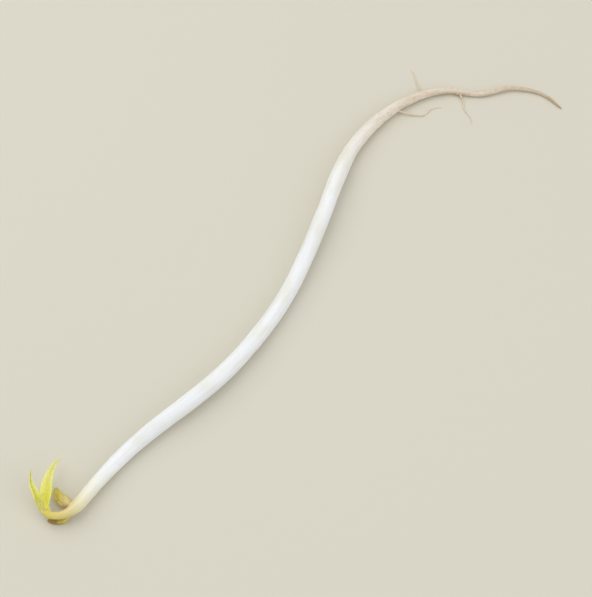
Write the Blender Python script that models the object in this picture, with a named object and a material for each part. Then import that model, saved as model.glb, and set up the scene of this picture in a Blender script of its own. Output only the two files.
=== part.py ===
# A mung bean sprout, picked and lying on a flat surface at z = 0. Metres, +Z up.
# The origin is the bottom centre of its box. The hooked head lies at -X -Y, the white stem
# crosses the middle, and the root tip points to +X.

import math

import bmesh
import bpy
import numpy as np
from mathutils import Matrix, Vector

MM = 0.001
UP = Vector((0.0, 0.0, 1.0))
GAP = 0.3               # mm, left between organs that touch in life

# The centreline from the leaf bases to the root tip, in mm from the head's corner of the sheet it
# lies on: x, y, clearance under it, diameter.
ROUTE = np.array((
    (3.1, 2.7, 1.75, 1.30),
    (4.0, 1.9, 1.76, 1.28),
    (5.6, 1.7, 1.66, 1.28),
    (7.2, 2.3, 1.42, 1.46),
    (8.6, 3.5, 0.95, 1.95),
    (9.9, 5.2, 0.68, 2.12),
    (11.9, 7.9, 0.36, 2.26),
    (15.0, 11.7, 0.06, 2.46),
    (20.0, 16.5, 0.15, 2.75),
    (26.6, 21.8, 0.55, 2.95),
    (32.8, 27.6, 0.45, 3.05),
    (38.2, 34.4, 0.05, 3.05),
    (42.8, 41.8, 0.05, 3.00),
    (46.3, 49.4, 0.40, 2.95),
    (49.3, 57.2, 0.75, 2.95),
    (51.9, 64.8, 0.60, 2.85),
    (55.1, 71.8, 0.15, 2.60),
    (59.9, 77.8, 0.00, 2.15),
    (65.7, 82.0, 0.10, 1.60),
    (72.2, 84.0, 0.20, 1.20),
    (78.6, 83.4, 0.00, 0.95),
    (84.8, 84.6, 0.30, 0.75),
    (90.2, 83.4, 0.10, 0.55),
    (93.6, 80.4, 0.00, 0.38),
))
BOX_CENTRE = Vector((47.005, 45.027, 0.0))    # mm, bottom centre of the sprout's box on that sheet

NECK_LENGTH = 6.2       # mm along the centreline, leaf bases to seed leaves
STEM_END = 94.0         # mm along the centreline, where the white stem turns to root
TUBE_SIDES_STEP = 4     # a bevel of this resolution has 12 sides

# Root threads: where each leaves the root (mm along the centreline), its side of the root (+1 is
# left, going towards the tip), length, turn from the root's direction and bend on the way, degrees.
SIDE_ROOTS = (
    {"at": 101.5, "side": -1, "length": 9.0, "turn": 58.0, "bend": -34.0},
    {"at": 107.0, "side": 1, "length": 6.0, "turn": 62.0, "bend": 30.0},
    {"at": 114.5, "side": -1, "length": 7.0, "turn": 50.0, "bend": 26.0},
)
SIDE_ROOT_DIAMETER = 0.42

# Leaves: the midrib runs from the stalk's foot over a middle point to the tip, mm.
LEAVES = {
    "leaf_left": {
        "foot": (2.18, 2.66, 2.5), "middle": (0.5, 5.5, 3.3), "tip": (1.0, 9.1, 5.1),
        "width": 2.6, "fold": 62.0, "roll": 34.0,
    },
    "leaf_right": {
        "foot": (3.25, 3.4, 2.45), "middle": (3.45, 7.4, 2.8), "tip": (5.6, 12.1, 2.05),
        "width": 2.9, "fold": 54.0, "roll": -12.0,
    },
}
LEAF_DEPTH = 0.5        # from the blade's lower skin straight up to its upper one
STALK_WIDTH = 0.62
STALK_PART = 0.16       # share of the midrib that is bare stalk

# Seed leaves: half-bean shells, from the foot at the node to the far tip, mm.
COTYLEDONS = {
    "cotyledon_upper": {
        "foot": (7.1, 3.8, 1.45), "tip": (5.0, 7.3, 0.65), "width": 2.3, "depth": 1.4,
        "arch": 0.45, "roll": 14.0,
    },
    "cotyledon_lower": {
        "foot": (7.3, 1.95, 0.46), "tip": (3.1, 1.1, 0.44), "width": 2.1, "depth": 1.0,
        "arch": 0.2, "roll": -8.0,
    },
}

BUD = {"foot": (2.62, 3.0, 3.35), "tip": (2.1, 4.3, 4.5), "width": 0.8}


def knots(rows):
    """Distance of each row from the first, along straight lines between them."""
    steps = np.linalg.norm(np.diff(rows[:, :2], axis=0), axis=1)
    return np.concatenate(((0.0,), np.cumsum(steps)))


ROUTE_KNOTS = knots(ROUTE)
ROUTE_SLOPES = np.gradient(ROUTE, ROUTE_KNOTS, axis=0)
ROUTE_LENGTH = ROUTE_KNOTS[-1]


def route_row(distance):
    """x, y, clearance and diameter at a distance along the centreline, on a cubic through ROUTE."""
    i = int(np.clip(np.searchsorted(ROUTE_KNOTS, distance) - 1, 0, len(ROUTE) - 2))
    span = ROUTE_KNOTS[i + 1] - ROUTE_KNOTS[i]
    t = (distance - ROUTE_KNOTS[i]) / span
    return (
        (2 * t**3 - 3 * t**2 + 1) * ROUTE[i]
        + (t**3 - 2 * t**2 + t) * span * ROUTE_SLOPES[i]
        + (3 * t**2 - 2 * t**3) * ROUTE[i + 1]
        + (t**3 - t**2) * span * ROUTE_SLOPES[i + 1]
    )


def route_point(distance):
    """Centre of the stem or root at a distance along it."""
    x, y, clearance, diameter = route_row(distance)
    return Vector((x, y, max(clearance, 0.0) + diameter / 2))


def route_direction(distance):
    step = 0.1
    ahead = route_point(min(distance + step, ROUTE_LENGTH))
    return (ahead - route_point(max(distance - step, 0.0))).normalized()


def material(name, colour, roughness):
    made = bpy.data.materials.new(name)
    made.use_nodes = True
    shader = made.node_tree.nodes["Principled BSDF"]
    shader.inputs["Base Color"].default_value = (*colour, 1.0)
    shader.inputs["Roughness"].default_value = roughness
    shader.inputs["Metallic"].default_value = 0.0
    return made


def add_object(name, data, finish):
    data.materials.append(finish)
    made = bpy.data.objects.new(name, data)
    made.location = -BOX_CENTRE * MM
    bpy.context.scene.collection.objects.link(made)
    return made


def add_tube(name, points, diameters, finish):
    """A closed round tube through the points, as thick at each as its diameter says."""
    curve = bpy.data.curves.new(name, "CURVE")
    curve.dimensions = "3D"
    curve.bevel_depth = 0.5 * MM
    curve.bevel_resolution = TUBE_SIDES_STEP
    curve.use_fill_caps = True
    spline = curve.splines.new("POLY")
    spline.points.add(len(points) - 1)
    for knot, point, diameter in zip(spline.points, points, diameters):
        knot.co = (*(point * MM), 1.0)
        knot.radius = diameter
    return add_object(name, curve, finish)


def add_route_tube(name, start, end, step, finish):
    """The stretch of the centreline from start to end, with a point about every step."""
    distances = np.linspace(start, end, round((end - start) / step) + 1)
    points = [route_point(distance) for distance in distances]
    return add_tube(name, points, [route_row(distance)[3] for distance in distances], finish)


def add_side_root(name, thread, finish):
    """A fine root that leaves the main one sideways and lies down beside it."""
    steps = 10
    start = route_point(thread["at"])
    heading = route_direction(thread["at"])
    out = Vector((-heading.y, heading.x, 0.0)) * thread["side"]
    point = start + out * (route_row(thread["at"])[3] / 2 + GAP)
    point.z = max(point.z - 0.1, SIDE_ROOT_DIAMETER / 2)
    angle = math.atan2(heading.y, heading.x) + math.radians(thread["turn"]) * thread["side"]
    points = []
    diameters = []
    for i in range(steps + 1):
        part = i / steps
        points.append(point.copy())
        diameters.append(SIDE_ROOT_DIAMETER * (1 - 0.45 * part))
        bent = angle + math.radians(thread["bend"]) * part * thread["side"]
        point += Vector((math.cos(bent), math.sin(bent), 0.0)) * thread["length"] / steps
        point.z = max(point.z - 0.15, SIDE_ROOT_DIAMETER / 2)
    return add_tube(name, points, diameters, finish)


def midrib(leaf, part):
    """Point and direction on a leaf's midrib, a quadratic curve through its middle point."""
    foot, middle, tip = (Vector(leaf[key]) for key in ("foot", "middle", "tip"))
    bend = 2 * middle - (foot + tip) / 2
    point = (1 - part) ** 2 * foot + 2 * part * (1 - part) * bend + part**2 * tip
    return point, ((1 - part) * (bend - foot) + part * (tip - bend)).normalized()


def leaf_half_width(leaf, part):
    """Half the blade's width: a thin stalk, then a lance-shaped blade with a pointed tip."""
    blade = max(0.0, (part - STALK_PART) / (1 - STALK_PART))
    stalk = STALK_WIDTH / 2 * (1 - blade)
    return stalk + leaf["width"] / 2 * math.sin(math.pi * blade**0.8) ** 0.9 + 0.06


def add_leaf(name, leaf, finish):
    """A lance-shaped blade folded up along its midrib, as deep everywhere as LEAF_DEPTH."""
    rows, columns = 18, 6
    mesh = bmesh.new()
    bmesh.ops.create_grid(mesh, x_segments=columns, y_segments=rows, size=1.0)
    raised = bmesh.ops.extrude_face_region(mesh, geom=mesh.faces[:])["geom"]
    raised = {element for element in raised if isinstance(element, bmesh.types.BMVert)}
    for vertex in mesh.verts:
        part = (vertex.co.y + 1) / 2
        point, ahead = midrib(leaf, part)
        across = UP.cross(ahead).normalized()
        across.rotate(Matrix.Rotation(math.radians(leaf["roll"]), 3, ahead))
        up = ahead.cross(across)
        width = leaf_half_width(leaf, part)
        fold = math.radians(leaf["fold"]) * min(1.0, part / STALK_PART)
        side = vertex.co.x
        vertex.co = point + (across * side * math.cos(fold) + up * abs(side) * math.sin(fold)) * width
        vertex.co += up * LEAF_DEPTH * (0.5 if vertex in raised else -0.5)
    bmesh.ops.recalc_face_normals(mesh, faces=mesh.faces)
    bmesh.ops.scale(mesh, vec=(MM, MM, MM), verts=mesh.verts)
    data = bpy.data.meshes.new(name)
    mesh.to_mesh(data)
    mesh.free()
    return add_object(name, data, finish)


def add_shell(name, shell, finish):
    """A half-bean: a ball drawn out from foot to tip, flatter below than above, and arched."""
    mesh = bmesh.new()
    bmesh.ops.create_uvsphere(mesh, u_segments=16, v_segments=10, radius=1.0)
    bmesh.ops.rotate(mesh, matrix=Matrix.Rotation(math.pi / 2, 3, "Y"), verts=mesh.verts)
    foot, tip = Vector(shell["foot"]), Vector(shell["tip"])
    ahead = (tip - foot).normalized()
    across = UP.cross(ahead).normalized()
    across.rotate(Matrix.Rotation(math.radians(shell.get("roll", 0.0)), 3, ahead))
    up = ahead.cross(across)
    depth = shell.get("depth", shell["width"])
    for vertex in mesh.verts:
        along, side, rise = vertex.co
        narrow = 1 - 0.28 * along**2 - 0.12 * along
        rise *= depth * (0.62 if rise > 0 else 0.38)
        rise -= shell.get("arch", 0.0) * along**2
        middle = foot.lerp(tip, (along + 1) / 2)
        vertex.co = middle + across * side * narrow * shell["width"] / 2 + up * rise
    bmesh.ops.scale(mesh, vec=(MM, MM, MM), verts=mesh.verts)
    data = bpy.data.meshes.new(name)
    mesh.to_mesh(data)
    mesh.free()
    data.shade_smooth()
    return add_object(name, data, finish)


def build():
    for old in list(bpy.data.objects):
        bpy.data.objects.remove(old, do_unlink=True)
    white = material("stem_white", (0.86, 0.87, 0.85), 0.28)
    tan = material("root_tan", (0.66, 0.50, 0.34), 0.45)
    pale_yellow = material("neck_yellow", (0.83, 0.78, 0.40), 0.32)
    yellow = material("leaf_yellow", (0.76, 0.68, 0.04), 0.40)
    buff = material("seed_leaf_buff", (0.68, 0.60, 0.25), 0.50)
    add_route_tube("neck", 0.0, NECK_LENGTH - GAP / 2, 0.45, pale_yellow)
    add_route_tube("stem", NECK_LENGTH + GAP / 2, STEM_END - GAP / 2, 1.3, white)
    add_route_tube("root", STEM_END + GAP / 2, ROUTE_LENGTH, 0.9, tan)
    for number, thread in enumerate(SIDE_ROOTS, start=1):
        add_side_root(f"side_root_{number}", thread, tan)
    for name, leaf in LEAVES.items():
        add_leaf(name, leaf, yellow)
    for name, shell in COTYLEDONS.items():
        add_shell(name, shell, buff)
    add_shell("terminal_bud", BUD, pale_yellow)


build()
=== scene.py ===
import math
import random

import bmesh
import bpy
import numpy as np
from mathutils import Matrix, Vector, noise


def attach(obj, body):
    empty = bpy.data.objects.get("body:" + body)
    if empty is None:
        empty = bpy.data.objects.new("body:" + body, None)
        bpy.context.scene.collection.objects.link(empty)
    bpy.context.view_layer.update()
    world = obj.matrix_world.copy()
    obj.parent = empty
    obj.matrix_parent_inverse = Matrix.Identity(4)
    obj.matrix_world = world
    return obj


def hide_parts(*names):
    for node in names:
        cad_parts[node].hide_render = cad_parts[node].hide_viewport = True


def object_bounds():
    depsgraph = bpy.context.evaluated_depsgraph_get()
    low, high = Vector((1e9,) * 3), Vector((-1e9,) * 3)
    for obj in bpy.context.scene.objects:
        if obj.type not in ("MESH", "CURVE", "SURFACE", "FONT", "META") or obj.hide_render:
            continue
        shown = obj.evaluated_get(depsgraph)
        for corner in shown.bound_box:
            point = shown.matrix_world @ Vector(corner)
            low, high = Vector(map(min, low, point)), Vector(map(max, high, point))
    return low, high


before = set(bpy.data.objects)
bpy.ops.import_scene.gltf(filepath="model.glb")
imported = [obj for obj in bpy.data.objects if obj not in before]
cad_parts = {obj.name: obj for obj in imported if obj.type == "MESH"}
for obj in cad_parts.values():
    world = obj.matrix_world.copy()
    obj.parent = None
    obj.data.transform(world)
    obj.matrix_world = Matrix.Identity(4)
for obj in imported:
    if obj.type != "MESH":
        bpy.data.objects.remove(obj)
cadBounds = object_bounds()
mm = 0.001
skyward = Vector((0, 0, 1))


# small helpers, all in mm and radians until a piece is finished

def hexColour(text):
    # sRGB hex to the linear values that a socket holds
    parts = [int(text[i:i + 2], 16) / 255 for i in (1, 3, 5)]
    return (*[c / 12.92 if c <= 0.04045 else ((c + 0.055) / 1.055) ** 2.4 for c in parts], 1.0)


def ease(value):
    # a smooth step up from 0 to 1
    value = min(1.0, max(0.0, value))
    return value * value * (3 - 2 * value)


def bump(distance, width):
    # a smooth hill, 1 high at its middle
    return math.exp(-(distance / width) ** 2)


def addNode(tree, kind, settings=None, inputs=None, stops=None):
    # an input is a value or the socket that feeds it, and stops are a colour ramp's
    node = tree.nodes.new(kind)
    for name, value in (settings or {}).items():
        setattr(node, name, value)
    for name, value in (inputs or {}).items():
        if isinstance(value, bpy.types.NodeSocket):
            tree.links.new(value, node.inputs[name])
        else:
            node.inputs[name].default_value = value
    if stops:
        ramp = node.color_ramp.elements
        while len(ramp) < len(stops):
            ramp.new(0.5)
        for element, (position, colour) in zip(ramp, stops):
            element.position = position
            element.color = hexColour(colour)
    return node


def newMaterial(name, values):
    made = bpy.data.materials.new(name)
    made.use_nodes = True
    shader = made.node_tree.nodes["Principled BSDF"]
    for socket, value in values.items():
        shader.inputs[socket].default_value = value
    return made, made.node_tree, shader


# settings that nodes share, and a colour mix's sockets: 0 its share, 6 and 7 its colours, 2 its result
smoothly = {"interpolation_type": "SMOOTHSTEP"}
mixing = {"data_type": "RGBA"}
multiplying = {"data_type": "RGBA", "blend_type": "MULTIPLY"}
factor, under, over, mixed = 0, 6, 7, 2


def crossAxes(ahead, roll=0.0):
    # left and up of a spine that runs ahead, turned about it by roll degrees
    left = skyward.cross(ahead).normalized()
    turn = Matrix.Rotation(math.radians(roll), 3, ahead)
    return turn @ left, turn @ ahead.cross(left)


def curveThrough(rows, measured):
    # reader and length of a smooth curve through rows, whose first few numbers say how far apart they are
    rows = np.array(rows)
    steps = np.linalg.norm(np.diff(rows[:, :measured], axis=0), axis=1)
    knots = np.concatenate(((0.0,), np.cumsum(steps)))
    slopes = np.gradient(rows, knots, axis=0)

    def rowAt(distance):
        i = int(np.clip(np.searchsorted(knots, distance) - 1, 0, len(rows) - 2))
        span = knots[i + 1] - knots[i]
        t = (distance - knots[i]) / span
        return (
            (2 * t**3 - 3 * t**2 + 1) * rows[i]
            + (t**3 - 2 * t**2 + t) * span * slopes[i]
            + (3 * t**2 - 2 * t**3) * rows[i + 1]
            + (t**3 - t**2) * span * slopes[i + 1]
        )

    return rowAt, float(knots[-1])


def skinNoise(angle, distance, across, lengthways, shift=(0, 0, 0)):
    # smooth noise on a round body's skin, with so many waves across it and for each unit of distance
    place = Vector((math.cos(angle) * across, math.sin(angle) * across, distance * lengthways))
    return noise.noise(place + Vector(shift))


def newBody():
    # each point carries how far along the piece it is, how deep in a crease or on a vein, and its place
    bm = bmesh.new()
    bm.verts.layers.float.new("along")
    bm.verts.layers.float.new("tone")
    bm.verts.layers.float_vector.new("skin")
    return bm


def skinLayers(bm):
    floats = bm.verts.layers.float
    return floats["along"], floats["tone"], bm.verts.layers.float_vector["skin"]


def faceOutwards(bm, verts):
    # a long thin body can be read inside out, so the volume that its faces enclose decides
    bm.normal_update()
    faces = list({face for vert in verts for face in vert.link_faces})
    bmesh.ops.recalc_face_normals(bm, faces=faces)
    if sum(face.calc_center_median().dot(face.normal) * face.calc_area() for face in faces) < 0:
        bmesh.ops.reverse_faces(bm, faces=faces)


def drawOut(bm, around, rings, station, section):
    # a ball's rings are laid along a spine, so both ends close in a pole, and nothing goes under the table
    along, tone, skin = skinLayers(bm)
    made = bmesh.ops.create_uvsphere(bm, u_segments=around, v_segments=rings, radius=1.0)
    stations = [station(ring / rings) for ring in range(rings + 1)]
    for vert in made["verts"]:
        ring = rings - round(math.acos(min(1.0, max(-1.0, vert.co.z))) / math.pi * rings)
        angle = math.atan2(vert.co.y, vert.co.x)
        point, left, rise, distance = stations[ring]
        sideways, upwards, depth = section(ring / rings, angle, distance)
        vert.co = point + left * sideways + rise * upwards
        vert.co.z = max(vert.co.z, 0.0)
        vert[along] = distance
        vert[tone] = depth
        vert[skin] = (sideways, upwards, distance)
    faceOutwards(bm, made["verts"])


def finishPiece(name, bm, material, nodes):
    # from mm to metres, and to the named nodes of the CAD model that it stands for
    bmesh.ops.scale(bm, vec=(mm, mm, mm), verts=bm.verts)
    mesh = bpy.data.meshes.new(name)
    bm.to_mesh(mesh)
    bm.free()
    mesh.shade_smooth()
    mesh.materials.append(material)
    piece = bpy.data.objects.new(name, mesh)
    bpy.context.scene.collection.objects.link(piece)
    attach(piece, "root")
    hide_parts(*nodes)


# stem, root and neck: one growing axis, drawn out along its route

sprout = {
    # x, y, clearance under it and diameter in mm, from the leaf stalks to the root tip
    "route": (
        (3.1, 2.7, 1.75, 1.30),
        (4.0, 1.9, 1.76, 1.28),
        (5.6, 1.7, 1.66, 1.28),
        (7.2, 2.3, 1.42, 1.46),
        (8.6, 3.5, 0.95, 1.95),
        (9.9, 5.2, 0.68, 2.12),
        (11.9, 7.9, 0.36, 2.26),
        (15.0, 11.7, 0.06, 2.46),
        (20.0, 16.5, 0.15, 2.75),
        (26.6, 21.8, 0.55, 2.95),
        (32.8, 27.6, 0.45, 3.05),
        (38.2, 34.4, 0.05, 3.05),
        (42.8, 41.8, 0.05, 3.00),
        (46.3, 49.4, 0.40, 2.95),
        (49.3, 57.2, 0.75, 2.95),
        (51.9, 64.8, 0.60, 2.85),
        (55.1, 71.8, 0.15, 2.60),
        (59.9, 77.8, 0.00, 2.15),
        (65.7, 82.0, 0.10, 1.60),
        (72.2, 84.0, 0.20, 1.20),
        (78.6, 83.4, 0.00, 0.95),
        (84.8, 84.6, 0.30, 0.75),
        (90.2, 83.4, 0.10, 0.55),
        (93.6, 80.4, 0.00, 0.38),
    ),
    "boxCentre": (47.005, 45.027, 0.0),      # of the route's own numbers, brought to the frame's origin
    "rootStart": 94.0,       # mm along the route
    "tipDome": 0.10,         # 1 would end the root in a half ball, less draws it out
    # the white flesh, in mm that it stands out
    "oval": 0.03,            # of the radius
    "ovalTurn": 0.03,        # radians each mm
    "swells": 0.09,          # a few mm long
    "ribs": 0.012,           # faint and long
    "nodeSwell": 0.07,       # where the seed leaves were borne
    "node": (6.2, 1.2),      # mm along, and how wide
    "neckGather": 0.018,     # soft skin gathers where the neck bends
    "neckBend": (2.2, 2.4),  # mm along, and how wide
    "neckThins": 0.16,       # of the radius, where it parts into the leaf stalks
    "neckThinnedBy": 1.6,    # mm along, where it is full again
    # the root's bark, in shares of the radius
    "grain": 0.035,
    "knots": 0.11,
    "furrows": 0.10,
    # lumps on the skin, and the shade over each; a lengthways under 1 draws the lump out along the axis
    "scar": {"height": 0.16, "width": 0.70, "shade": 0.35, "shadeWidth": 0.75, "lengthways": 0.8},
    "nub": {"height": 0.15, "width": 0.20, "shade": 0.40, "shadeWidth": 0.26, "lengthways": 1.0},
    "collar": {"height": 0.13, "width": 0.42, "shade": 0.45, "shadeWidth": 0.40, "lengthways": 1.0},
    # where a seed leaf joins: mm along and angle round the stem, 0 being its left side
    "seedLeafScars": ((5.8, -0.3), (5.0, -2.0)),
    "rootNubs": 9,           # side roots that have only just broken the bark
    "nubSeed": 11,
    "nubMargins": (3, 9),    # mm of root that bears none, at its start and its tip
    "around": 48,
    "rings": 1000,
}
centre = Vector(sprout["boxCentre"])
routeRow, routeLength = curveThrough(sprout["route"], 2)

# fine side roots, thinner towards their tips
sideRoots = {
    # mm along the route where each leaves the root, on which side, +1 being left, and its turns in degrees
    "threads": (
        {"at": 101.5, "side": -1, "length": 9.0, "turn": 58.0, "bend": -34.0},
        {"at": 107.0, "side": 1, "length": 6.0, "turn": 62.0, "bend": 30.0},
        {"at": 114.5, "side": -1, "length": 7.0, "turn": 50.0, "bend": 26.0},
    ),
    "diameter": 0.42,
    "startsAt": 0.1,         # of the root's radius from its middle
    "wander": 0.9,           # how far it strays, in radians
    "fall": 1.6,             # mm that it comes down over its length, until it lies on the table
    "lift": 0.25,            # mm that it then rises off the table here and there
    "thinnest": 0.30,        # of the diameter, at the tip
    "thickest": 0.85,
    "collar": 0.45,          # how much thicker it is where it leaves the root
    "collarPlace": (0.7, 0.5),    # mm along, and how wide
    "lumps": 0.16,
    "around": 16,
    "rings": 150,
}


def routePoint(distance):
    x, y, clearance, diameter = routeRow(distance)
    return Vector((x, y, max(clearance, 0.0) + diameter / 2)) - centre


def routeAhead(distance):
    step = 0.1
    before, after = max(distance - step, 0.0), min(distance + step, routeLength)
    return (routePoint(after) - routePoint(before)).normalized()


def spineThrough(rows):
    # a spine's point and direction at a share of the way along it
    rowAt, length = curveThrough(rows, 3)
    step = 0.05

    def place(distance):
        return Vector(rowAt(min(length, max(0.0, distance)))) - centre

    def spineAt(part):
        distance = part * length
        return place(distance), (place(distance + step) - place(distance - step)).normalized()

    return spineAt


def scatterNubs():
    # each nub's mm along, angle round the root and size
    pick = random.Random(sprout["nubSeed"])
    first, last = sprout["rootStart"] + sprout["nubMargins"][0], routeLength - sprout["nubMargins"][1]
    return [
        (pick.uniform(first, last), pick.uniform(-math.pi, math.pi), pick.uniform(0.5, 1.0))
        for _ in range(sprout["rootNubs"])
    ]


# each lump's kind, mm along, angle round the axis and size
neckLumps = [("scar", at, facing, 1.0) for at, facing in sprout["seedLeafScars"]]
rootLumps = [("nub", *nub) for nub in scatterNubs()]
for thread in sideRoots["threads"]:
    rootLumps.append(("collar", thread["at"], 0.0 if thread["side"] > 0 else math.pi, 1.0))


# the reliefs: how far the skin stands out of the plain round form, and how deep in a crease it is

def lumpRelief(lumps, distance, angle, radius):
    out = depth = 0.0
    for kind, at, facing, size in lumps:
        lump = sprout[kind]
        across = radius * math.remainder(angle - facing, math.tau)
        away = math.hypot((distance - at) * lump["lengthways"], across)
        out += lump["height"] * size * bump(away, lump["width"] * size)
        depth += lump["shade"] * bump(away, lump["shadeWidth"])
    return out, depth


def fleshRelief(distance, angle, radius):
    # not quite round, gently swollen and faintly ribbed, with no crease
    out = sprout["oval"] * radius * math.cos(2 * (angle - sprout["ovalTurn"] * distance))
    out += sprout["swells"] * skinNoise(angle, distance, 0.8, 0.15)
    out += sprout["ribs"] * skinNoise(angle, distance, 4.2, 0.07)
    return out


def neckRelief(distance, angle, radius):
    nodeAt, nodeWidth = sprout["node"]
    bendAt, bendWidth = sprout["neckBend"]
    out, depth = lumpRelief(neckLumps, distance, angle, radius)
    out += sprout["nodeSwell"] * bump(distance - nodeAt, nodeWidth)
    out += sprout["neckGather"] * skinNoise(angle, distance, 0.9, 3.0) * bump(distance - bendAt, bendWidth)
    out -= sprout["neckThins"] * radius * (1 - ease(distance / sprout["neckThinnedBy"]))
    return out, depth


def barkRelief(distance, angle, radius):
    grain = skinNoise(angle, distance, 1.8, 2.6)
    knots = skinNoise(angle, distance, 0.7, 0.5, (9, 0, 0))
    furrow = abs(skinNoise(angle, distance, 2.4, 0.30, (0, 5, 0)))
    out = sprout["grain"] * grain + sprout["knots"] * knots + sprout["furrows"] * (furrow - 0.25)
    depth = 0.30 * bump(furrow, 0.08) + 0.15 * max(0.0, -grain)
    return radius * out, depth


def axisRelief(distance, angle, radius):
    # flesh turns to bark over the 10 mm round the root's start
    root = ease((distance - sprout["rootStart"] + 5) / 10)
    flesh = fleshRelief(distance, angle, radius) * (1 - root)
    if root == 0:
        out, depth = neckRelief(distance, angle, radius)
        return flesh + out, depth
    bark, creases = barkRelief(distance, angle, radius)
    out, depth = lumpRelief(rootLumps, distance, angle, radius)
    return flesh + root * bark + out, root * creases + depth


def axisStation(part):
    distance = part * routeLength
    return routePoint(distance), *crossAxes(routeAhead(distance)), distance


def axisSection(part, angle, distance):
    radius = routeRow(distance)[3] / 2
    # a half ball closes the neck's end inside the leaf stalks, a long thin point the root's
    gap = min(distance, (routeLength - distance) * sprout["tipDome"]) / radius
    dome = math.sqrt(max(0.0, 1 - max(0.0, 1 - gap) ** 2))
    out, depth = axisRelief(distance, angle, radius)
    reach = (radius + out) * dome
    return math.cos(angle) * reach, math.sin(angle) * reach, depth


def makeAxisSkin():
    # moist hypocotyl skin over watery white flesh, turning to tan root bark: bright, soft, satin
    made, tree, shader = newMaterial("moistHypocotylSkin", {
        "Roughness": 0.3, "IOR": 1.38,
        "Subsurface Weight": 0.75, "Subsurface Radius": (1.0, 0.96, 0.90), "Subsurface Scale": 0.0013,
        "Coat Weight": 0.25, "Coat Roughness": 0.18, "Coat IOR": 1.33,
    })
    along = addNode(tree, "ShaderNodeAttribute", {"attribute_name": "along"})
    skin = addNode(tree, "ShaderNodeAttribute", {"attribute_name": "skin"})
    tone = addNode(tree, "ShaderNodeAttribute", {"attribute_name": "tone"})
    share = addNode(tree, "ShaderNodeMath", {"operation": "DIVIDE"}, {
        0: along.outputs["Fac"], 1: routeLength})
    zones = addNode(tree, "ShaderNodeValToRGB", {}, {"Fac": share.outputs[0]}, stops=(
        (0.000, "#D8D056"), (0.010, "#DCCF68"), (0.024, "#E3D286"), (0.033, "#E8D99A"),
        (0.041, "#EFE4B4"), (0.050, "#F2EAC6"), (0.060, "#F4EED4"), (0.070, "#F5F1E1"),
        (0.082, "#F5F5EA"), (0.098, "#F7F9F4"), (0.118, "#F8FAFA"), (0.560, "#F8F9F8"),
        (0.640, "#F6F3ED"), (0.700, "#F2EBE0"), (0.760, "#EDE3D5"), (0.860, "#E5D8C5"),
        (0.950, "#D6C6AE"), (1.000, "#B8A586"),
    ))
    # the inner side of the bent neck blushes tan
    sides = addNode(tree, "ShaderNodeSeparateXYZ", {}, {0: skin.outputs["Vector"]})
    inner = addNode(tree, "ShaderNodeMapRange", smoothly, {
        "Value": sides.outputs["X"], "From Min": -0.1, "From Max": 0.8, "To Min": 0.0, "To Max": 0.85})
    bend = addNode(tree, "ShaderNodeValToRGB", {}, {"Fac": share.outputs[0]}, stops=(
        (0.0, "#444444"), (0.018, "#FFFFFF"), (0.038, "#CCCCCC"), (0.058, "#000000"),
    ))
    blush = addNode(tree, "ShaderNodeMath", {"operation": "MULTIPLY"}, {
        0: inner.outputs[0], 1: bend.outputs["Color"]})
    blushed = addNode(tree, "ShaderNodeMix", mixing, {
        factor: blush.outputs[0], under: zones.outputs["Color"], over: hexColour("#E3C79A")})
    # flesh is a little creamier in places, several millimetres long
    drawn = addNode(tree, "ShaderNodeMapping", {}, {
        "Vector": skin.outputs["Vector"], "Scale": (0.5, 0.5, 0.16)})
    clouds = addNode(tree, "ShaderNodeTexNoise", {}, {
        "Vector": drawn.outputs[0], "Scale": 1.0, "Detail": 2.0, "Roughness": 0.5})
    creamy = addNode(tree, "ShaderNodeMapRange", {}, {
        "Value": clouds.outputs["Fac"], "From Min": 0.44, "From Max": 0.7, "To Min": 0.0, "To Max": 0.7})
    clouded = addNode(tree, "ShaderNodeMix", multiplying, {
        factor: creamy.outputs[0], under: blushed.outputs[mixed], over: hexColour("#F3F0E2")})
    # fibre bundles show through as long cool streaks, about 0.3 mm across
    stretched = addNode(tree, "ShaderNodeMapping", {}, {
        "Vector": skin.outputs["Vector"], "Scale": (3.2, 3.2, 0.10)})
    fibres = addNode(tree, "ShaderNodeTexNoise", {}, {
        "Vector": stretched.outputs[0], "Scale": 1.0, "Detail": 3.0, "Roughness": 0.55})
    streaks = addNode(tree, "ShaderNodeMapRange", {}, {
        "Value": fibres.outputs["Fac"], "From Min": 0.42, "From Max": 0.75, "To Min": 0.0, "To Max": 0.45})
    streaked = addNode(tree, "ShaderNodeMix", multiplying, {
        factor: streaks.outputs[0], under: clouded.outputs[mixed], over: hexColour("#E2E8E9")})
    # the root's bark is mottled, the stem hardly
    rootness = addNode(tree, "ShaderNodeMapRange", smoothly, {
        "Value": along.outputs["Fac"], "To Min": 0.04, "To Max": 0.9,
        "From Min": sprout["rootStart"] - 8, "From Max": sprout["rootStart"] + 12})
    mottle = addNode(tree, "ShaderNodeTexNoise", {}, {
        "Vector": skin.outputs["Vector"], "Scale": 1.5, "Detail": 5.0, "Roughness": 0.62})
    patches = addNode(tree, "ShaderNodeMapRange", {}, {
        "Value": mottle.outputs["Fac"], "From Min": 0.46, "From Max": 0.76, "To Min": 0.0, "To Max": 0.55})
    amount = addNode(tree, "ShaderNodeMath", {"operation": "MULTIPLY"}, {
        0: patches.outputs[0], 1: rootness.outputs[0]})
    mottled = addNode(tree, "ShaderNodeMix", multiplying, {
        factor: amount.outputs[0], under: streaked.outputs[mixed], over: hexColour("#D6B88E")})
    # painted shade: the creases, the furrows of the bark and the rings round the lumps are darkened tan, as
    # if shade gathered there
    creaseShadeShare = addNode(tree, "ShaderNodeMath", {"operation": "MULTIPLY", "use_clamp": True}, {
        0: tone.outputs["Fac"], 1: 0.7})
    creaseShaded = addNode(tree, "ShaderNodeMix", multiplying, {
        factor: creaseShadeShare.outputs[0], under: mottled.outputs[mixed], over: hexColour("#D2B48A")})
    tree.links.new(creaseShaded.outputs[mixed], shader.inputs["Base Color"])
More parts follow.
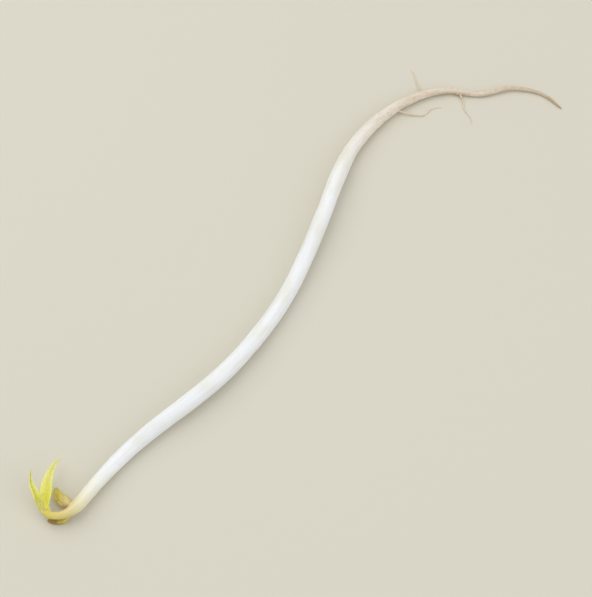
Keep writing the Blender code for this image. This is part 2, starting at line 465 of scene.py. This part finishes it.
    # wet flesh shines, bark is duller
    gloss = addNode(tree, "ShaderNodeMapRange", {}, {
        "Value": rootness.outputs[0], "From Min": 0.0, "From Max": 0.9, "To Min": 0.27, "To Max": 0.5})
    uneven = addNode(tree, "ShaderNodeMath", {"operation": "MULTIPLY_ADD"}, {
        0: fibres.outputs["Fac"], 1: 0.14, 2: gloss.outputs[0]})
    tree.links.new(uneven.outputs[0], shader.inputs["Roughness"])
    # the fibres stand out faintly, and the bark is pored
    grain = addNode(tree, "ShaderNodeBump", {}, {
        "Height": fibres.outputs["Fac"], "Strength": 0.3, "Distance": 0.00004})
    pores = addNode(tree, "ShaderNodeTexNoise", {}, {
        "Vector": skin.outputs["Vector"], "Scale": 5.0, "Detail": 3.0, "Roughness": 0.6})
    poreHeight = addNode(tree, "ShaderNodeMath", {"operation": "MULTIPLY"}, {
        0: pores.outputs["Fac"], 1: rootness.outputs[0]})
    bark = addNode(tree, "ShaderNodeBump", {}, {
        "Height": poreHeight.outputs[0], "Strength": 0.7, "Distance": 0.00008, "Normal": grain.outputs[0]})
    tree.links.new(bark.outputs[0], shader.inputs["Normal"])
    return made


bm = newBody()
drawOut(bm, sprout["around"], sprout["rings"], axisStation, axisSection)
finishPiece("stemRootAndNeck", bm, makeAxisSkin(), ["stem", "root", "neck"])
print("stem, root and neck drawn out along the route")


def threadStations(thread):
    # its points, walked out from inside the root and down to the table
    at = thread["at"]
    ahead = routeAhead(at)
    out = Vector((-ahead.y, ahead.x, 0)) * thread["side"]
    angle = math.atan2(ahead.y, ahead.x) + math.radians(thread["turn"]) * thread["side"]
    rootRadius = routeRow(at)[3] / 2
    lowest = sideRoots["diameter"] / 2
    steps = sideRoots["rings"]
    # it starts inside the root
    point = routePoint(at) + out * rootRadius * sideRoots["startsAt"]
    length = thread["length"] + rootRadius * (1 - sideRoots["startsAt"])
    points = []
    for i in range(steps + 1):
        part = i / steps
        points.append(point.copy())
        bent = angle + math.radians(thread["bend"]) * part * thread["side"]
        sway = noise.noise(Vector((at, part * 3.1, 0.0))) + 0.5 * noise.noise(Vector((at, part * 8.7, 4.0)))
        bent += sideRoots["wander"] * sway * ease(part * 2.5)
        point = point + Vector((math.cos(bent), math.sin(bent), 0)) * length / steps
        lift = sideRoots["lift"] * ease(part * 2) * abs(noise.noise(Vector((at + 3, part * 4, 0.0))))
        point.z = max(point.z - sideRoots["fall"] / steps, lowest * (1 - 0.6 * part) + lift)

    def station(part):
        i = round(part * steps)
        before, after = points[max(0, i - 1)], points[min(steps, i + 1)]
        return points[i], *crossAxes((after - before).normalized()), part * length

    return station


def threadSection(part, angle, distance):
    # it tapers all the way, from a collar where it leaves the root, and closes at both ends
    thickest, thinnest = sideRoots["thickest"], sideRoots["thinnest"]
    collarAt, collarWidth = sideRoots["collarPlace"]
    radius = sideRoots["diameter"] / 2 * (thickest - (thickest - thinnest) * part ** 0.8)
    radius *= 1 + sideRoots["collar"] * bump(distance - collarAt, collarWidth)
    radius *= math.sqrt(ease(part * 40)) * math.sqrt(ease((1 - part) * 12))
    radius *= 1 + sideRoots["lumps"] * skinNoise(angle, distance, 1.0, 2.2)
    return math.cos(angle) * radius, math.sin(angle) * radius, 0.0


def makeThreadSkin():
    # young root bark: tan and dull where it leaves the root, paler and clearer at the growing tip
    made, tree, shader = newMaterial("sideRootBark", {
        "Roughness": 0.45, "IOR": 1.4,
        "Subsurface Weight": 0.5, "Subsurface Radius": (1.0, 0.85, 0.65), "Subsurface Scale": 0.0004,
    })
    along = addNode(tree, "ShaderNodeAttribute", {"attribute_name": "along"})
    skin = addNode(tree, "ShaderNodeAttribute", {"attribute_name": "skin"})
    longest = max(thread["length"] for thread in sideRoots["threads"])
    share = addNode(tree, "ShaderNodeMath", {"operation": "DIVIDE"}, {0: along.outputs["Fac"], 1: longest})
    zones = addNode(tree, "ShaderNodeValToRGB", {}, {"Fac": share.outputs[0]}, stops=(
        (0.0, "#DDCBAE"), (0.35, "#E4D6BE"), (0.75, "#EADFCB"), (1.0, "#F0E8D8"),
    ))
    mottle = addNode(tree, "ShaderNodeTexNoise", {}, {
        "Vector": skin.outputs["Vector"], "Scale": 2.4, "Detail": 4.0, "Roughness": 0.6})
    patches = addNode(tree, "ShaderNodeMapRange", {}, {
        "Value": mottle.outputs["Fac"], "From Min": 0.45, "From Max": 0.7, "To Min": 0.0, "To Max": 0.4})
    mottled = addNode(tree, "ShaderNodeMix", multiplying, {
        factor: patches.outputs[0], under: zones.outputs["Color"], over: hexColour("#D6BC97")})
    tree.links.new(mottled.outputs[mixed], shader.inputs["Base Color"])
    return made


threadSkin = makeThreadSkin()
for number, thread in enumerate(sideRoots["threads"], start=1):
    bm = newBody()
    drawOut(bm, sideRoots["around"], sideRoots["rings"], threadStations(thread), threadSection)
    finishPiece(f"sideRoot{number}", bm, threadSkin, [f"side_root_{number}"])
print("side roots done")


# first leaves: folded blades whose veins are sunk above and raised beneath, on stalks from inside the neck

leaves = {
    # mm, from the foot of the stalk to the tip; fold is how steeply each half rises, in degrees
    "blades": {
        "leafLeft": {
            "node": "leaf_left",
            "spine": (
                (3.70, 2.10, 2.40), (2.85, 2.85, 2.50), (1.62, 5.00, 3.15),
                (0.95, 7.00, 4.05), (1.15, 9.00, 5.10),
            ),
            "width": 1.6, "fold": 64.0, "roll": 26.0, "stalkWidth": 0.72, "seed": 3.0,
        },
        "leafRight": {
            "node": "leaf_right",
            "spine": (
                (3.95, 1.85, 2.36), (3.55, 2.75, 2.46), (3.52, 3.70, 2.58), (3.66, 4.90, 2.70),
                (3.85, 7.30, 2.80), (4.40, 9.80, 2.55), (5.63, 12.10, 2.05),
            ),
            "width": 1.95, "fold": 50.0, "roll": -10.0, "stalkWidth": 0.90, "seed": 8.0,
        },
    },
    "stalkDepth": 0.74,
    "stalkShare": 0.15,      # of the spine that has no blade
    "skin": 0.20,            # the blade's thickness
    "veins": 8.5,            # side veins on each half
    "veinSlant": 0.26,
    "ruffle": 0.17,
    "relief": 1.0,           # how plainly the veins and puckers stand out
    "rows": 180,
    "columns": 40,
}


def stalkFlare(part):
    # thin inside the neck, thickest where the stalk leaves it
    return (0.45 + 0.55 * ease(part / 0.08)) * (1 + 0.20 * bump(part - 0.10, 0.06))


def bladeSpread(form, part):
    # 0 in the round stalk, 1 in the open blade
    return ease((part - form["stalkShare"] * 0.55) / (form["stalkShare"] * 1.1))


def bladeWidth(form, blade, part):
    # half of it, and the tip is left just wide enough to close
    share = max(0.0, (part - form["stalkShare"]) / (1 - form["stalkShare"]))
    stalk = blade["stalkWidth"] / 2 * (1 - share) ** 2 * stalkFlare(part)
    spreading = blade["width"] / 2 * math.sin(math.pi * min(1.0, share) ** 0.57) ** 1.05
    return stalk + spreading + 0.025 * (1 - 0.8 * part ** 8)


def bladeThickness(form, side, part, spread):
    # the blade thins to its margins and tip, and the stalk is round
    blade = form["skin"] * (1 - 0.55 * abs(side) ** 4) * (1 - 0.4 * part) * (1 - 0.7 * part ** 8)
    stalk = form["stalkDepth"] * stalkFlare(part) * math.sqrt(max(0.0, 1 - side ** 2)) + 0.02
    return blade * spread + stalk * (1 - spread)


def bladeSurface(form, blade, side, part, top):
    # how far left and up of the spine a point of the upper or lower face is, and how near a vein
    edge, seed, ruffle = abs(side), blade["seed"], form["ruffle"]
    width, spread = bladeWidth(form, blade, part), bladeSpread(form, part)
    fold = math.radians(blade["fold"]) * spread
    # the two halves rise from a rounded keel in a V whose margins turn out a little
    sideways = side * math.cos(fold * (1 - 0.28 * edge ** 3)) * width
    upwards = (math.hypot(edge, 0.07) - 0.07) * math.sin(fold) * width * (1 - 0.10 * edge ** 3)
    # ruffled margin
    wave = noise.noise(Vector((part * 7, math.copysign(2.0, side), seed)))
    upwards += ruffle * wave * edge ** 3 * spread * (1 - part)
    sideways += 0.5 * ruffle * noise.noise(Vector((part * 9, side, seed + 4))) * edge * spread
    # side veins slant to the margins, and the blade puckers between them
    phase = (part - edge * form["veinSlant"] + 0.04 * edge ** 2) * form["veins"]
    vein = bump(math.remainder(phase, 1.0), 0.15) * spread * (1 - edge ** 6) * (1 - part ** 6)
    rib = bump(side * width, 0.09 + 0.08 * (1 - part)) * spread
    pucker = noise.noise(Vector((side * width * 2.4, part * 24, seed + 9)))
    thick = bladeThickness(form, side, part, spread)
    if top:
        sunk = 0.045 * vein + 0.05 * rib - 0.02 * (1 - vein + pucker) * spread
        lift = thick / 2 - sunk * form["relief"]
    else:
        lift = -thick / 2 - (0.035 * vein + 0.16 * rib * (1 - 0.8 * part)) * form["relief"]
    # a steep half is moved further up, to stay as thick
    slope = max(0.5, math.cos(fold))
    upwards += lift / slope * (1 - 0.25 * (1 - slope))
    return sideways, upwards, max(vein * 0.7, rib)


def growBlade(bm, form, blade):
    # a flat grid and its raised copy, bent into the blade's two faces
    along, tone, skin = skinLayers(bm)
    spineAt = spineThrough(blade["spine"])
    lower = bmesh.ops.create_grid(
        bm, x_segments=form["columns"], y_segments=form["rows"], size=1.0)["verts"]
    faces = list({face for vert in lower for face in vert.link_faces})
    raised = bmesh.ops.extrude_face_region(bm, geom=faces)["geom"]
    upper = [part for part in raised if isinstance(part, bmesh.types.BMVert)]
    for verts, top in ((lower, False), (upper, True)):
        for vert in verts:
            side, part = vert.co.x, (vert.co.y + 1) / 2
            point, ahead = spineAt(part)
            left, rise = crossAxes(ahead, blade["roll"])
            sideways, upwards, vein = bladeSurface(form, blade, side, part, top)
            vert.co = point + left * sideways + rise * upwards
            vert[along] = part
            vert[tone] = vein
            vert[skin] = (sideways, abs(side), part * 10)
    faceOutwards(bm, lower + upper)


def makeBladeSkin():
    # thin young leaf grown in the dark: lemon yellow, paler at its margins and veins, satin
    made, tree, shader = newMaterial("etiolatedLeafBlade", {
        "Roughness": 0.38, "IOR": 1.42,
        "Subsurface Weight": 0.55, "Subsurface Radius": (1.0, 0.9, 0.18), "Subsurface Scale": 0.0006,
        "Coat Weight": 0.12, "Coat Roughness": 0.3, "Coat IOR": 1.33,
    })
    along = addNode(tree, "ShaderNodeAttribute", {"attribute_name": "along"})
    skin = addNode(tree, "ShaderNodeAttribute", {"attribute_name": "skin"})
    tone = addNode(tree, "ShaderNodeAttribute", {"attribute_name": "tone"})
    zones = addNode(tree, "ShaderNodeValToRGB", {}, {"Fac": along.outputs["Fac"]}, stops=(
        (0.00, "#E3D25E"), (0.14, "#E6DC5A"), (0.25, "#E7E14C"), (0.38, "#EDE776"),
        (0.52, "#F1EC90"), (0.70, "#F2EEA0"), (0.88, "#F0ECA6"), (1.0, "#EAE4A2"),
    ))
    # margins and veins are paler, the cells between them greener in patches
    parts = addNode(tree, "ShaderNodeSeparateXYZ", {}, {0: skin.outputs["Vector"]})
    margin = addNode(tree, "ShaderNodeMapRange", smoothly, {
        "Value": parts.outputs["Y"], "From Min": 0.62, "From Max": 1.0, "To Min": 0.0, "To Max": 0.75})
    edged = addNode(tree, "ShaderNodeMix", mixing, {
        factor: margin.outputs[0], under: zones.outputs["Color"], over: hexColour("#F4F09A")})
    mottle = addNode(tree, "ShaderNodeTexNoise", {}, {
        "Vector": skin.outputs["Vector"], "Scale": 1.1, "Detail": 4.0, "Roughness": 0.6})
    patches = addNode(tree, "ShaderNodeMapRange", {}, {
        "Value": mottle.outputs["Fac"], "From Min": 0.45, "From Max": 0.72, "To Min": 0.0, "To Max": 0.6})
    greened = addNode(tree, "ShaderNodeMix", mixing, {
        factor: patches.outputs[0], under: edged.outputs[mixed], over: hexColour("#D4D848")})
    veins = addNode(tree, "ShaderNodeMath", {"operation": "MULTIPLY", "use_clamp": True}, {
        0: tone.outputs["Fac"], 1: 0.6})
    veined = addNode(tree, "ShaderNodeMix", mixing, {
        factor: veins.outputs[0], under: greened.outputs[mixed], over: hexColour("#F0EB96")})
    tree.links.new(veined.outputs[mixed], shader.inputs["Base Color"])
    # the surface is finely uneven
    cells = addNode(tree, "ShaderNodeTexNoise", {}, {
        "Vector": skin.outputs["Vector"], "Scale": 6.0, "Detail": 2.0, "Roughness": 0.5})
    uneven = addNode(tree, "ShaderNodeMapRange", {}, {
        "Value": cells.outputs["Fac"], "From Min": 0.3, "From Max": 0.7, "To Min": 0.32, "To Max": 0.5})
    tree.links.new(uneven.outputs[0], shader.inputs["Roughness"])
    grain = addNode(tree, "ShaderNodeBump", {}, {
        "Height": cells.outputs["Fac"], "Strength": 0.4, "Distance": 0.00005})
    tree.links.new(grain.outputs[0], shader.inputs["Normal"])
    return made


bladeSkin = makeBladeSkin()
for name, blade in leaves["blades"].items():
    bm = newBody()
    growBlade(bm, leaves, blade)
    finishPiece(name, bm, bladeSkin, [blade["node"]])
print("leaves done")


# seed leaves: half-beans that have given up their store and shrivelled

seedLeaves = {
    # spent is how far the drying has gone by the tip, 1 being brown
    "shells": {
        "cotyledonUpper": {
            "node": "cotyledon_upper",
            "spine": (
                (8.05, 3.25, 1.80), (7.20, 3.95, 1.65), (6.15, 4.85, 1.35),
                (5.25, 5.95, 1.08), (4.75, 6.95, 0.90),
            ),
            "width": 2.15, "depth": 1.20, "roll": 16.0, "twist": 50.0, "curl": 0.50, "seed": 2.0,
            "spent": 0.82,
        },
        "cotyledonLower": {
            "node": "cotyledon_lower",
            "spine": (
                (7.60, 2.75, 1.55), (7.00, 2.05, 0.98), (5.85, 1.60, 0.64),
                (4.75, 1.42, 0.52), (3.65, 1.38, 0.48),
            ),
            "width": 1.75, "depth": 0.95, "roll": -8.0, "twist": -30.0, "curl": 0.30, "seed": 6.5,
            "spent": 1.55,
        },
    },
    "stalkWidth": 0.75,
    "stalkShare": 0.24,      # of the spine, over which the stalk widens into the shell
    "around": 96,
    "rings": 130,
}


def seedLeafStations(shell):
    spineAt = spineThrough(shell["spine"])

    def station(part):
        point, ahead = spineAt(part)
        roll = shell["roll"] + shell["twist"] * (part - 0.4)
        return point, *crossAxes(ahead, roll), part * shell["spent"]

    return station


def seedLeafSection(shell):
    seed, stalkShare = shell["seed"], seedLeaves["stalkShare"]

    def section(part, angle, distance):
        c, s = math.cos(angle), math.sin(angle)
        share = max(0.0, (part - 0.5 * stalkShare) / (1 - 0.5 * stalkShare))
        body = ease((part - 0.4 * stalkShare) / (0.9 * stalkShare))
        swell = math.sqrt(math.sin(math.pi * min(1.0, share ** 0.85))) * (1 - 0.12 * share)
        ends = math.sqrt(ease(part * 22))
        # creases run where a wandering pattern crosses nought: long furrows and a net of short wrinkles
        wander = angle + 0.9 * skinNoise(angle, part, 1.0, 2.4, (0, 0, seed + 3))
        furrow = abs(skinNoise(wander, part, 1.5, 2.6, (0, 0, seed)))
        wrinkle = abs(skinNoise(wander, part, 2.9, 7.0, (0, 0, seed + 5)))
        lump = skinNoise(angle, part, 0.9, 3.2, (0, 0, seed + 11))
        swollen = 1 + body * (0.50 * (furrow - 0.28) + 0.20 * (wrinkle - 0.25) + 0.36 * lump)
        stalk = seedLeaves["stalkWidth"] / 2 * (1 - body)
        halfWidth = (stalk + shell["width"] / 2 * swell * body) * ends
        halfDepth = (stalk + shell["depth"] / 2 * swell * body) * ends
        sideways = c * halfWidth * (0.55 + 0.45 * swollen)
        upwards = s * halfDepth * swollen
        # the shell curls down at both edges, and its inner face is dished
        upwards -= shell["curl"] * halfWidth * c * c * body
        if s < 0:
            upwards += 0.45 * halfDepth * body * s * s
        depth = body * (0.65 * bump(furrow, 0.08) + 0.4 * bump(wrinkle, 0.06))
        return sideways, upwards, depth

    return section


def makeSeedLeafSkin():
    # spent cotyledon: leathery, straw by its stalk, olive yellow beyond, browner at its dry tip, with
    # painted shade darkening its creases
    made, tree, shader = newMaterial("shrivelledCotyledon", {
        "Roughness": 0.45, "IOR": 1.42,
        "Subsurface Weight": 0.4, "Subsurface Radius": (1.0, 0.75, 0.3), "Subsurface Scale": 0.0006,
        "Coat Weight": 0.15, "Coat Roughness": 0.25, "Coat IOR": 1.33,
    })
    along = addNode(tree, "ShaderNodeAttribute", {"attribute_name": "along"})
    skin = addNode(tree, "ShaderNodeAttribute", {"attribute_name": "skin"})
    tone = addNode(tree, "ShaderNodeAttribute", {"attribute_name": "tone"})
    place = addNode(tree, "ShaderNodeMapping", {}, {
        "Vector": skin.outputs["Vector"], "Scale": (1.0, 1.0, 3.5)})
    mottle = addNode(tree, "ShaderNodeTexNoise", {}, {
        "Vector": place.outputs[0], "Scale": 1.4, "Detail": 5.0, "Roughness": 0.62})
    # it dries from the tip, with a ragged front
    front = addNode(tree, "ShaderNodeMapRange", {}, {
        "Value": mottle.outputs["Fac"], "From Min": 0.3, "From Max": 0.7, "To Min": -0.16, "To Max": 0.16})
    dried = addNode(tree, "ShaderNodeMath", {"operation": "ADD"}, {
        0: along.outputs["Fac"], 1: front.outputs[0]})
    zones = addNode(tree, "ShaderNodeValToRGB", {}, {"Fac": dried.outputs[0]}, stops=(
        (0.0, "#EADDA4"), (0.22, "#E4D28E"), (0.42, "#DFD070"),
        (0.66, "#DBD05C"), (0.84, "#CFC050"), (1.0, "#A08640"),
    ))
    patches = addNode(tree, "ShaderNodeMapRange", {}, {
        "Value": mottle.outputs["Fac"], "From Min": 0.46, "From Max": 0.68, "To Min": 0.0, "To Max": 0.45})
    tanned = addNode(tree, "ShaderNodeMix", mixing, {
        factor: patches.outputs[0], under: zones.outputs["Color"], over: hexColour("#D3B67C")})
    # painted shade: the creases are darkened brown
    creaseShadeShare = addNode(tree, "ShaderNodeMath", {"operation": "MULTIPLY", "use_clamp": True}, {
        0: tone.outputs["Fac"], 1: 0.5})
    creaseShaded = addNode(tree, "ShaderNodeMix", multiplying, {
        factor: creaseShadeShare.outputs[0], under: tanned.outputs[mixed], over: hexColour("#B8935A")})
    tree.links.new(creaseShaded.outputs[mixed], shader.inputs["Base Color"])
    wrinkles = addNode(tree, "ShaderNodeTexNoise", {}, {
        "Vector": place.outputs[0], "Scale": 4.5, "Detail": 3.0, "Roughness": 0.6})
    uneven = addNode(tree, "ShaderNodeMapRange", {}, {
        "Value": wrinkles.outputs["Fac"], "From Min": 0.3, "From Max": 0.7, "To Min": 0.36, "To Max": 0.58})
    tree.links.new(uneven.outputs[0], shader.inputs["Roughness"])
    crinkle = addNode(tree, "ShaderNodeBump", {}, {
        "Height": wrinkles.outputs["Fac"], "Strength": 0.6, "Distance": 0.00010})
    tree.links.new(crinkle.outputs[0], shader.inputs["Normal"])
    return made


seedLeafSkin = makeSeedLeafSkin()
for name, shell in seedLeaves["shells"].items():
    bm = newBody()
    drawOut(bm, seedLeaves["around"], seedLeaves["rings"], seedLeafStations(shell), seedLeafSection(shell))
    finishPiece(name, bm, seedLeafSkin, [shell["node"]])
print("seed leaves done")


# terminal bud: three leaflets still shut between the stalks, and the stipules that clasp them

bud = {
    # three leaflets, then three stipules
    "scales": (
        {"spine": ((3.20, 2.50, 2.55), (2.85, 3.00, 3.10), (2.50, 3.60, 3.80), (2.20, 4.25, 4.45)),
         "width": 0.62, "fold": 62.0, "roll": 8.0, "stalkWidth": 0.34, "seed": 1.0},
        {"spine": ((3.20, 2.50, 2.50), (2.70, 3.05, 2.95), (2.35, 3.55, 3.45), (1.95, 3.95, 3.95)),
         "width": 0.50, "fold": 58.0, "roll": 60.0, "stalkWidth": 0.34, "seed": 5.0},
        {"spine": ((3.25, 2.50, 2.50), (3.05, 3.05, 3.00), (2.92, 3.65, 3.55), (2.75, 4.10, 4.10)),
         "width": 0.50, "fold": 58.0, "roll": -60.0, "stalkWidth": 0.34, "seed": 9.0},
        {"spine": ((3.55, 2.20, 2.40), (3.00, 2.75, 2.98), (2.60, 3.30, 3.28)),
         "width": 0.66, "fold": 24.0, "roll": 14.0, "stalkWidth": 0.5, "seed": 12.0},
        {"spine": ((3.45, 2.25, 2.20), (2.60, 2.70, 2.15), (2.05, 3.25, 2.30)),
         "width": 0.66, "fold": 24.0, "roll": 70.0, "stalkWidth": 0.5, "seed": 15.0},
        {"spine": ((4.08, 1.95, 2.15), (4.18, 2.65, 2.48), (4.08, 3.35, 2.78)),
         "width": 0.56, "fold": 24.0, "roll": -25.0, "stalkWidth": 0.5, "seed": 18.0},
    ),
    "stalkDepth": 0.22,
    "stalkShare": 0.10,
    "skin": 0.12,
    "veins": 3.5,
    "veinSlant": 0.2,
    "ruffle": 0.03,
    "relief": 0.35,
    "rows": 60,
    "columns": 16,
}


def makeBudSkin():
    # bud scale: soft, pale green-yellow, a little downy so not glossy
    made, tree, shader = newMaterial("paleBudScale", {
        "Roughness": 0.5, "IOR": 1.42,
        "Subsurface Weight": 0.25, "Subsurface Radius": (1.0, 0.9, 0.3), "Subsurface Scale": 0.0003,
    })
    along = addNode(tree, "ShaderNodeAttribute", {"attribute_name": "along"})
    skin = addNode(tree, "ShaderNodeAttribute", {"attribute_name": "skin"})
    zones = addNode(tree, "ShaderNodeValToRGB", {}, {"Fac": along.outputs["Fac"]}, stops=(
        (0.0, "#F3EAA0"), (0.5, "#F0E98C"), (1.0, "#E2DA6C"),
    ))
    mottle = addNode(tree, "ShaderNodeTexNoise", {}, {
        "Vector": skin.outputs["Vector"], "Scale": 3.0, "Detail": 3.0, "Roughness": 0.6})
    mottled = addNode(tree, "ShaderNodeMix", mixing, {
        factor: mottle.outputs["Fac"], under: zones.outputs["Color"], over: hexColour("#EAE48C")})
    tree.links.new(mottled.outputs[mixed], shader.inputs["Base Color"])
    return made


bm = newBody()
for scale in bud["scales"]:
    growBlade(bm, bud, scale)
finishPiece("terminalBud", bm, makeBudSkin(), ["terminal_bud"])
print("bud done")


# the table, the lights and the camera

studio = {
    "tableColour": "#DDD8C7",
    "tableHalf": 2.0,        # half its width in metres
    "elevation": 65.0,       # the camera looks down this steeply
    "lens": 100.0,
    "distance": 0.287,
    "nearest": 0.01,         # that it can see
    "aimShift": (-0.0025, -0.0044, 0.0),   # from the middle of the box, to centre the sprout in view
    "lights": (
        # name, place, size in metres, power in watts, colour
        ("keyLight", (-0.34, 0.26, 0.52), 0.60, 1.62, "#FFFDF8"),
        ("fillLight", (0.45, -0.30, 0.35), 0.50, 0.80, "#F6F6FF"),
        ("topLight", (0.05, 0.05, 0.70), 0.60, 0.8, "#FFFFFF"),
    ),
    "sky": "#EFF1F5",
    "skyStrength": 0.62,
}


def makeTable():
    # matt laminate, plain and pale
    made, _, _ = newMaterial("mattTableTop", {
        "Base Color": hexColour(studio["tableColour"]), "Roughness": 0.6, "Specular IOR Level": 0.3})
    bm = bmesh.new()
    bmesh.ops.create_grid(bm, x_segments=1, y_segments=1, size=studio["tableHalf"])
    mesh = bpy.data.meshes.new("tableTop")
    bm.to_mesh(mesh)
    bm.free()
    mesh.materials.append(made)
    table = bpy.data.objects.new("tableTop", mesh)
    bpy.context.scene.collection.objects.link(table)


def makeLights():
    for name, place, size, power, colour in studio["lights"]:
        light = bpy.data.lights.new(name, "AREA")
        light.size = size
        light.energy = power
        light.color = hexColour(colour)[:3]
        lamp = bpy.data.objects.new(name, light)
        lamp.location = place
        lamp.rotation_euler = (-Vector(place)).to_track_quat("-Z", "Y").to_euler()
        bpy.context.scene.collection.objects.link(lamp)
    world = bpy.data.worlds.new("studioSky")
    world.use_nodes = True
    background = world.node_tree.nodes["Background"]
    background.inputs["Color"].default_value = hexColour(studio["sky"])
    background.inputs["Strength"].default_value = studio["skyStrength"]
    bpy.context.scene.world = world


def makeCamera():
    low, high = cadBounds
    aim = (Vector(low) + Vector(high)) / 2 + Vector(studio["aimShift"])
    slope = math.radians(studio["elevation"])
    back = Vector((0, -math.cos(slope), math.sin(slope)))
    camera = bpy.data.objects.new("camera", bpy.data.cameras.new("camera"))
    camera.data.lens = studio["lens"]
    camera.data.clip_start = studio["nearest"]
    camera.location = aim + back * studio["distance"]
    camera.rotation_euler = (-back).to_track_quat("-Z", "Y").to_euler()
    bpy.context.scene.collection.objects.link(camera)
    bpy.context.scene.camera = camera


makeTable()
makeLights()
makeCamera()
bpy.context.scene.view_settings.view_transform = "Standard"
print("table, lights and camera set")
